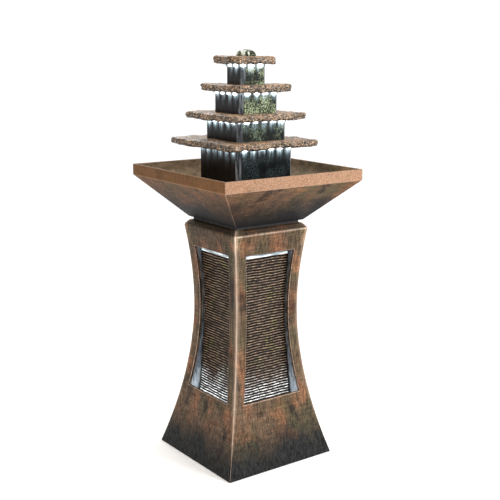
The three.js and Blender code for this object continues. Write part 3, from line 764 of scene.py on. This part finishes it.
def rounded_copy(node_name, name, width, material, body, slot):
    piece = copy_of_node(node_name, name)
    soften_edges(piece, width)
    finish_piece(piece, [material], body, slot, node_name)


def rounded_ring(corners, radius, arc, marks, flat):
    """Points round a convex outline with rounded corners. Marks are extra points at set distances from
    each corner, and flat is how many stretches the rest of a side has."""
    points = []
    for index, corner in enumerate(corners):
        before = (corners[index - 1] - corner).normalized()
        to_next = corners[(index + 1) % len(corners)] - corner
        after = to_next.normalized()
        for step in range(arc + 1):
            t = step / arc
            points.append(corner + before * radius * (1 - t) ** 2 + after * radius * t**2)
        middle = to_next.length - 2 * marks[-1]
        places = list(marks)
        places += [marks[-1] + middle * step / flat for step in range(1, flat)]
        places += [to_next.length - mark for mark in reversed(marks)]
        points += [corner + after * place for place in places]
    return points


def square(half):
    """Corners of a square, counterclockwise from above, starting at front left."""
    return [Vector(corner) * half for corner in ((-1, -1), (1, -1), (1, 1), (-1, 1))]


def smooth_curve(points, parts=8):
    """A Catmull-Rom curve through points."""
    points = [Vector(p) for p in points]
    points = [points[0] * 2 - points[1], *points, points[-1] * 2 - points[-2]]
    curve = []
    for a, b, c, d in zip(points, points[1:], points[2:], points[3:]):
        for step in range(parts):
            t = step / parts
            bend = (c - a) * t + (2 * a - 5 * b + 4 * c - d) * t**2 + (3 * b - a - 3 * c + d) * t**3
            curve.append(b + bend / 2)
    return [*curve, points[-2]]


def rounded_line(points, radii, arc):
    """A line through points, with its corners rounded where radii, by index, say so."""
    points = [Vector(p) for p in points]
    line = []
    for index, point in enumerate(points):
        if index not in radii:
            line.append(point)
            continue
        radius = radii[index]
        before = (points[index - 1] - point).normalized()
        after = (points[index + 1] - point).normalized()
        for step in range(arc + 1):
            t = step / arc
            line.append(point + before * radius * (1 - t) ** 2 + after * radius * t**2)
    return line


def square_rings(profile, radius, marks, flat, arc=3):
    """Rings of points round a square section, one for each (half width, height) of the profile."""
    rings = []
    for half, z in profile:
        ring = rounded_ring(square(half), radius, arc, marks, flat)
        rings.append([(*p, z) for p in ring])
    return rings


def skin_faces(rows, around, skip=lambda row, column: False):
    """Quads between rings of points, where the last ring joins the first."""
    faces = []
    for row in range(rows):
        above = (row + 1) % rows
        for column in range(around):
            if not skip(row, column):
                beside = (column + 1) % around
                corners = ((row, column), (row, beside), (above, beside), (above, column))
                faces.append([r * around + c for r, c in corners])
    return faces


def combine(piece, operation, other):
    """Cuts another object out of the piece, or joins it on, and removes the other."""
    modifier = piece.modifiers.new("combine", "BOOLEAN")
    modifier.operation = operation
    modifier.solver = "EXACT"
    modifier.object = other
    apply_modifiers(piece)
    bpy.data.objects.remove(other)


def cylinder_between(name, radius, start, end):
    way = Vector(end) - Vector(start)
    turn = way.to_track_quat("Z", "Y").to_matrix().to_4x4()
    work = bmesh.new()
    bmesh.ops.create_cone(
        work, cap_ends=True, segments=32, radius1=radius, radius2=radius, depth=way.length
    )
    work.transform(Matrix.Translation((Vector(start) + Vector(end)) / 2) @ turn)
    return object_from(work, name)


# ---------------------------------------------------------------- pedestal


def face_outline(name):
    """(height, half width) along the outside of a square node's corner edge, from the bottom up."""
    mesh = frame["nodes"][name].data
    outline = set()
    for face in mesh.polygons:
        out = Vector((face.center.x, face.center.y, 0)).normalized()
        if face.normal.dot(out) > 0.2:
            for index in face.vertices:
                x, y, z = mesh.vertices[index].co
                if abs(abs(x) - abs(y)) < 1e-5:
                    outline.add((round(z, 5), round(abs(x), 5)))
    return sorted(outline)


OUTLINE = face_outline("pedestal_shell")
SHOULDER = Vector(OUTLINE[-2])
FACE = smooth_curve(OUTLINE[:-1])
ROUNDED_OUT = 0.0012  # brings the rounded corners out to where the CAD's sharp ones are
NEAR = 1e-6


def face_half(z):
    """Half width of the pedestal's CAD face at height z."""
    return float(np.interp(z, [p.x for p in FACE], [p.y for p in FACE]))


def niche_back(z):
    return NICHE_BACK + NICHE_FOLLOW * (face_half(z) - min(p.y for p in FACE))


def niche_width(z):
    """Half width of a niche's back."""
    return min(face_half(z) - STILE, niche_back(z) - NICHE_CORNER)


def add_pedestal(copper, worn):
    """The shell as one skin, outside then inside, with the niche openings and their reveals."""
    low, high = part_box("pedestal_shell")
    foot_r = 0.001
    shoulder_r = 0.005
    foot_edge = 0.004  # left without rings over the rounded foot
    flange_edge = 0.003  # and over the foot's flange inside
    window = list(np.linspace(SILL, HEAD, 25))
    below = list(np.linspace(low.z + foot_edge, SILL, 10))[:-1]
    above = list(np.linspace(HEAD, SHOULDER.x, 4))[1:-1]
    floor_z = low.z + SHELL_WALL
    top_half = OUTLINE[-1][1]
    outside = [(FLANGE_HALF, low.z), (face_half(low.z) + ROUNDED_OUT, low.z)]
    outside += [(face_half(z) + ROUNDED_OUT, z) for z in (*below, *window, *above)]
    shoulder = len(outside)
    outside += [(SHOULDER.y + ROUNDED_OUT, SHOULDER.x), (top_half, high.z), (TOP_HOLE_HALF, high.z)]
    outside = rounded_line(outside, {1: foot_r, shoulder: shoulder_r, shoulder + 1: shoulder_r}, 4)
    top_inside = SHOULDER.x - SHELL_WALL
    inside = [(TOP_HOLE_HALF, high.z - TOP_PLATE), (top_half - SHELL_WALL, high.z - TOP_PLATE)]
    inside += [(face_half(z) - SHELL_WALL, z) for z in (top_inside, *reversed(window))]
    inside += [(face_half(z) - SHELL_WALL, z) for z in reversed(below) if z > floor_z + flange_edge]
    inside += [(face_half(floor_z) - SHELL_WALL, floor_z), (FLANGE_HALF, floor_z)]
    flat = 6
    arc = 4
    marks = [0.013, 0.022, STILE]
    rings = square_rings(outside, CORNER_R, [m + ROUNDED_OUT for m in marks], flat, arc)
    rings += square_rings(inside, CORNER_R / 2, [m - SHELL_WALL for m in marks], flat, arc)
    around = len(rings[0])
    side = around // len(SIDES)
    left_edge = arc + len(marks)
    outer_rows = [i for i, p in enumerate(outside) if SILL - NEAR < p[1] < HEAD + NEAR]
    inner_rows = [len(outside) + i for i, p in enumerate(inside) if SILL - NEAR < p[1] < HEAD + NEAR]
    inner_rows.reverse()
    open_rows = {*outer_rows[:-1], *inner_rows[1:]}
    in_opening = range(left_edge, left_edge + flat)
    faces = skin_faces(
        len(rings), around, lambda row, column: row in open_rows and column % side in in_opening
    )
    for number in range(len(SIDES)):
        left = number * side + left_edge
        right = left + flat
        for jamb in (left, right):
            for outer, inner in zip(zip(outer_rows, outer_rows[1:]), zip(inner_rows, inner_rows[1:])):
                faces.append([row * around + jamb for row in (*outer, inner[1], inner[0])])
        for outer, inner in ((outer_rows[0], inner_rows[0]), (outer_rows[-1], inner_rows[-1])):
            for column in range(left, right):
                corners = ((outer, column), (outer, column + 1), (inner, column + 1), (inner, column))
                faces.append([row * around + c for row, c in corners])
    points = [p for ring in rings for p in ring]
    shell = make_object("pedestal_casting", mesh_of("pedestal_casting", points, faces))
    for material in (copper, worn):
        shell.data.materials.append(material)
    # The rounded edges take rubbed copper that also stands as a painted highlight.
    soften_edges(shell, 0.0011, angle=50, own_material=True)
    add_cable_boss(shell)
    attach(shell, "pedestal")
    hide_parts("pedestal_shell")


def add_cable_boss(shell):
    """Joins the boss on the back to the shell and cuts the cable hole through both."""
    low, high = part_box("cable_grommet")
    middle = (low + high) / 2
    margin = 0.0075  # of the boss round the grommet's flange
    flange_out = 0.003  # the grommet's flange past its hole
    flange_t = 0.0033  # the flange and a little play
    lower = 0.004  # how much less high than wide the boss is
    half = (high.x - low.x) / 2 + margin
    inner = low.y + flange_t
    outer = high.y - flange_t
    work = bmesh.new()
    bmesh.ops.create_cube(work, size=1)
    size = Matrix.Diagonal((2 * half, outer - inner, 2 * half - lower, 1))
    work.transform(Matrix.Translation((0, (inner + outer) / 2, middle.z)) @ size)
    boss = object_from(work, "cable_boss")
    soften_edges(boss, 0.002)
    combine(shell, "UNION", boss)
    reach = 0.03
    start = (0, low.y - reach, middle.z)
    end = (0, high.y + reach, middle.z)
    hole_r = (high.z - low.z) / 2 - flange_out
    combine(shell, "DIFFERENCE", cylinder_between("cable_hole", hole_r, start, end))


def add_rib_panel(number, side, material):
    """Wavy ribs like stacked slate, on a plate that closes behind them."""
    low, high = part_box(f"niche_panel_{side}")
    ribs = round((high.z - low.z) / RIB_PITCH)
    per_rib = 8
    columns = 64
    relief = 0.0034
    gap = 0.0008  # beside the panel
    behind = 0.001  # from the plate to the niche's back
    turn = Matrix.Rotation(number * QUARTER, 3, "Z")
    points = []
    crests = []
    for row in range(ribs * per_rib + 1):
        z = low.z + (high.z - low.z) * row / (ribs * per_rib)
        half = niche_width(z) - gap
        for column in range(columns + 1):
            x = half * (2 * column / columns - 1)
            wavy = 0.24 * noise.noise(Vector((x * 28, z * 14, 11.0 * number)))
            crooked = 0.12 * noise.noise(Vector((x * 60, z * 110, 7.0 * number)))
            phase = row / per_rib + wavy + crooked
            crest = abs(math.sin(math.pi * phase)) ** 2
            y = -(niche_back(z) + PANEL_DEPTH - relief * (1 - crest))
            points.append(turn @ Vector((x, y, z)))
            crests.append(crest)
    rows = ribs * per_rib + 1
    wide = columns + 1
    faces = []
    for row in range(rows - 1):
        for column in range(columns):
            corner = row * wide + column
            faces.append((corner, corner + 1, corner + 1 + wide, corner + wide))
    rim = list(range(wide)) + [row * wide + columns for row in range(1, rows)]
    rim += [(rows - 1) * wide + c for c in range(columns - 1, -1, -1)]
    rim += [row * wide for row in range(rows - 2, 0, -1)]
    first = len(points)
    inward = turn @ Vector((0, PANEL_DEPTH - relief - behind, 0))
    for index in rim:
        points.append(points[index] + inward)
        crests.append(0.0)
    for a in range(len(rim)):
        b = (a + 1) % len(rim)
        faces.append((rim[a], first + a, first + b, rim[b]))
    faces.append(tuple(first + a for a in range(len(rim))))
    mesh = mesh_of(f"ribs_{side}", points, faces)
    attribute = mesh.attributes.new("crest", "FLOAT", "POINT")
    attribute.data.foreach_set("value", crests)
    panel = make_object(f"ribs_{side}", mesh)
    finish_piece(panel, [material], "pedestal", "ribbed_resin", f"niche_panel_{side}")


# ---------------------------------------------------------------- bowl


def add_bowl(copper):
    """Square dish with a rim band, a soft crease inside it, and a spigot that sits in the pedestal."""
    low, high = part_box("bowl_shell")
    outline = face_outline("bowl_shell")
    play = 0.0003  # over the gasket
    foot_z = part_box("seat_gasket")[1].z + play
    foot_half = max(half for z, half in outline if z < foot_z + play)
    rim_half = high.x
    band_z = high.z - BAND_HEIGHT
    slope = (rim_half - foot_half) / (band_z - foot_z)
    inner_rim = rim_half - RIM_WALL
    inner_foot = foot_half - BOWL_WALL
    crease_z = foot_z + (inner_rim - inner_foot) / slope
    floor_z = foot_z + BOWL_FLOOR
    middle_gap = 0.004  # the skin is a ring, so it leaves a small square hole, which the pump hides
    profile = [
        (SPIGOT_HALF, low.z),
        (SPIGOT_HALF, foot_z),
        (foot_half, foot_z),
        (rim_half, band_z),
        (rim_half, high.z),
        (inner_rim, high.z),
        (inner_rim, crease_z),
        (inner_foot + slope * BOWL_FLOOR, floor_z),
        (middle_gap, floor_z),
        (middle_gap, foot_z),
        (SPIGOT_HALF - SPIGOT_WALL, foot_z),
        (SPIGOT_HALF - SPIGOT_WALL, low.z),
    ]
    outer_r = 0.002
    rim_r = 0.0018
    crease_r = 0.012
    floor_r = 0.010
    radii = {2: outer_r, 3: outer_r, 4: rim_r, 5: rim_r, 6: crease_r, 7: floor_r}
    profile = rounded_line(profile, radii, 5)
    upright_r = 0.0022
    rings = square_rings(profile, upright_r, [0.003], 12)
    faces = skin_faces(len(rings), len(rings[0]))
    points = [p for ring in rings for p in ring]
    bowl = make_object("bowl_casting", mesh_of("bowl_casting", points, faces))
    stopper_low, stopper_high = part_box("lead_stopper")
    middle = (stopper_low + stopper_high) / 2
    flange_out = 0.0022  # the stopper's flange past its hole
    bore = (stopper_high.x - stopper_low.x) / 2 - flange_out
    reach = 0.02
    start = (middle.x, middle.y, foot_z - reach)
    end = (middle.x, middle.y, floor_z + reach)
    combine(bowl, "DIFFERENCE", cylinder_between("lead_hole", bore, start, end))
    bowl.data.shade_smooth()
    weight_normals(bowl)
    finish_piece(bowl, [copper], "bowl", "bowl_resin", "bowl_shell")


# ---------------------------------------------------------------- tower


def rough(place):
    """Fractal noise of three octaves, for broken stone."""
    return noise.fractal(place, 0.9, 2.1, 3)


def add_slab(tier, material):
    """Split stone: the CAD slab in small cells, its edge broken in layers and its faces pitted."""
    node_name = f"tier_slab_{tier}"
    slab = make_object(f"stone_slab_{tier}", frame["nodes"][node_name].data.copy())
    remesh = slab.modifiers.new("cells", "REMESH")
    remesh.mode = "VOXEL"
    remesh.voxel_size = 0.0022
    apply_modifiers(slab)
    mesh = slab.data
    box_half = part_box(f"tower_box_{tier}")[1].x
    loosened_over = 0.025  # outside the box's walls, where the stone gets free to bend and thicken
    normals = [Vector(vertex.normal) for vertex in mesh.vertices]
    places = []
    for vertex, normal in zip(mesh.vertices, normals):
        p = Vector(vertex.co)
        edge = 1 - abs(normal.z)
        seed = p + Vector((0.3 * tier, 0, 0))
        lumps = rough(seed * 55)
        layers = noise.noise(Vector((seed.x * 50, seed.y * 50, seed.z * 300)))
        pits = rough(seed * 240)
        out = edge * (0.0028 * lumps + 0.0013 * layers + 0.0012 * pits)
        out += (1 - edge) * (0.0010 * lumps + 0.0009 * pits)
        free = min(1.0, max(0.0, (max(abs(p.x), abs(p.y)) - box_half) / loosened_over))
        wave = 0.0032 * free * noise.noise(Vector((seed.x * 26, seed.y * 26, 3.0 * tier)))
        thicker = 0.0012 * free * normal.z
        places.append(p + normal * out + Vector((0, 0, wave + thicker)))
    mesh.vertices.foreach_set("co", np.array(places, dtype=np.float32).reshape(-1))
    mesh.update()
    mesh.shade_smooth()
    finish_piece(slab, [material], "tower", "slab_stone", node_name)


def add_bubble(material):
    """Water welling up over the spout in lobes."""
    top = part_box("spout_nozzle")[1].z
    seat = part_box("tier_slab_4")[1].z
    radius = 0.029
    cover = 0.003  # water over the spout's top
    height = top - seat + cover
    rings = 20
    around = 60
    points = [(0, 0, seat + height * 0.96)]
    for ring in range(1, rings + 1):
        out = ring / rings
        for step in range(around):
            angle = 2 * math.pi * step / around
            lobes = 1 + 0.08 * math.sin(5 * angle + 0.6) + 0.04 * math.sin(9 * angle)
            r = radius * out * (1 + (lobes - 1) * out)
            swell = 0.10 * math.sin(5 * angle + 0.6) * out + 0.05 * math.sin(14 * out + 3 * angle)
            z = seat + height * max(0.0, (1 - out**3.2)) ** 0.55 * (0.94 + swell * (1 - out))
            points.append((r * math.cos(angle), r * math.sin(angle), z))
    faces = [(0, 1 + step, 1 + (step + 1) % around) for step in range(around)]
    for ring in range(rings - 1):
        for step in range(around):
            a = 1 + ring * around + step
            b = 1 + ring * around + (step + 1) % around
            faces.append((a, b, b + around, a + around))
    faces.append(tuple(1 + (rings - 1) * around + step for step in range(around)))
    bubble = make_object("water_bubble", mesh_of("water_bubble", points, faces))
    finish_piece(bubble, [material], "spout", "water")


def add_pool(material):
    """The bowl's water: a thin rippled sheet from wall to wall, not cut out round the tower and pump."""
    outline = face_outline("bowl_shell")
    sheet_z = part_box("tower_box_1")[0].z + WATER_DEPTH
    half = float(np.interp(sheet_z, [p[0] for p in outline], [p[1] for p in outline]))
    gap = 0.001
    thickness = 0.004
    half -= BOWL_WALL + gap
    cells_across = 70
    points = []
    for row in range(cells_across + 1):
        for column in range(cells_across + 1):
            x = half * (2 * column / cells_across - 1)
            y = half * (2 * row / cells_across - 1)
            ring = 0.0006 * math.sin(260 * max(abs(x), abs(y)))
            wave = 0.0012 * noise.noise(Vector((x * 34, y * 34, 0)))
            points.append((x, y, sheet_z + ring + wave))
    wide = cells_across + 1
    count = len(points)
    points += [(x, y, sheet_z - thickness) for x, y, _ in points]
    faces = []
    for row in range(cells_across):
        for column in range(cells_across):
            a = row * wide + column
            faces.append((a, a + 1, a + 1 + wide, a + wide))
            faces.append(tuple(count + i for i in (a, a + wide, a + 1 + wide, a + 1)))
    last = cells_across * wide
    for step in range(cells_across):
        for a, b in (
            (step, step + 1),
            (last + step, last + step + 1),
            (step * wide, (step + 1) * wide),
            (step * wide + cells_across, (step + 1) * wide + cells_across),
        ):
            faces.append((a, b, count + b, count + a))
    pool = make_object("water_pool", mesh_of("water_pool", points, faces))
    finish_piece(pool, [material], "bowl", "water")


# ---------------------------------------------------------------- the fountain

add_camera()
add_room()

WORN_HIGHLIT = worn_highlit_copper()
RIM_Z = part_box("bowl_shell")[1].z
PEDESTAL_COPPER = pedestal_copper(SHOULDER.x)
BOWL_COPPER = bowl_copper(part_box("seat_gasket")[1].z, RIM_Z - BAND_HEIGHT, RIM_Z)
LINER = wet_liner()
RIBS = ribbed_resin()
STONE = split_stone()
WATER = water()
RUBBER = rubber_or_plastic("black_rubber_worn", srgb(34, 34, 35), 0.6, 0.85, 0.0012)
PLASTIC = rubber_or_plastic("black_plastic_grained", srgb(38, 39, 42), 0.35, 0.55, 0.0007)
WET_PLASTIC = rubber_or_plastic("black_plastic_wet", srgb(30, 31, 34), 0.08, 0.25, 0.0015)
STEEL = ground_steel()
VINYL = clear_vinyl()
HEAD_LIGHT = lit_diffuser("niche_light_upper", 0.12, 0.7)
SILL_LIGHT = lit_diffuser("niche_light_lower", 4.0, 9.0)


def paint(node_name, material):
    slots = frame["nodes"][node_name].data.materials
    slots.clear()
    slots.append(material)


add_pedestal(PEDESTAL_COPPER, WORN_HIGHLIT)
for number, side in enumerate(SIDES):
    add_rib_panel(number, side, RIBS)
    paint(f"niche_liner_{side}", LINER)
    paint(f"niche_light_head_{side}", HEAD_LIGHT)
    paint(f"niche_light_sill_{side}", SILL_LIGHT)
add_bowl(BOWL_COPPER)
for tier in TIERS:
    slab_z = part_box(f"tier_slab_{tier}")[0].z
    black = wet_black_stone(tier, slab_z)
    rounded_copy(f"tower_box_{tier}", f"black_box_{tier}", 0.0012, black, "tower", "tower_stone")
    paint(f"light_strip_{tier}", light_strip_gel(tier, slab_z))
    add_slab(tier, STONE)
add_bubble(foaming_highlit_water())
add_pool(WATER)

PLAIN = {
    "black_rubber": RUBBER,
    "black_plastic": PLASTIC,
    "spout_plastic": WET_PLASTIC,
    "steel": STEEL,
    "clear_tube": VINYL,
}
for part in frame["record"]["subparts"]:
    if part["material_slot"] in PLAIN:
        paint(part["node"], PLAIN[part["material_slot"]])
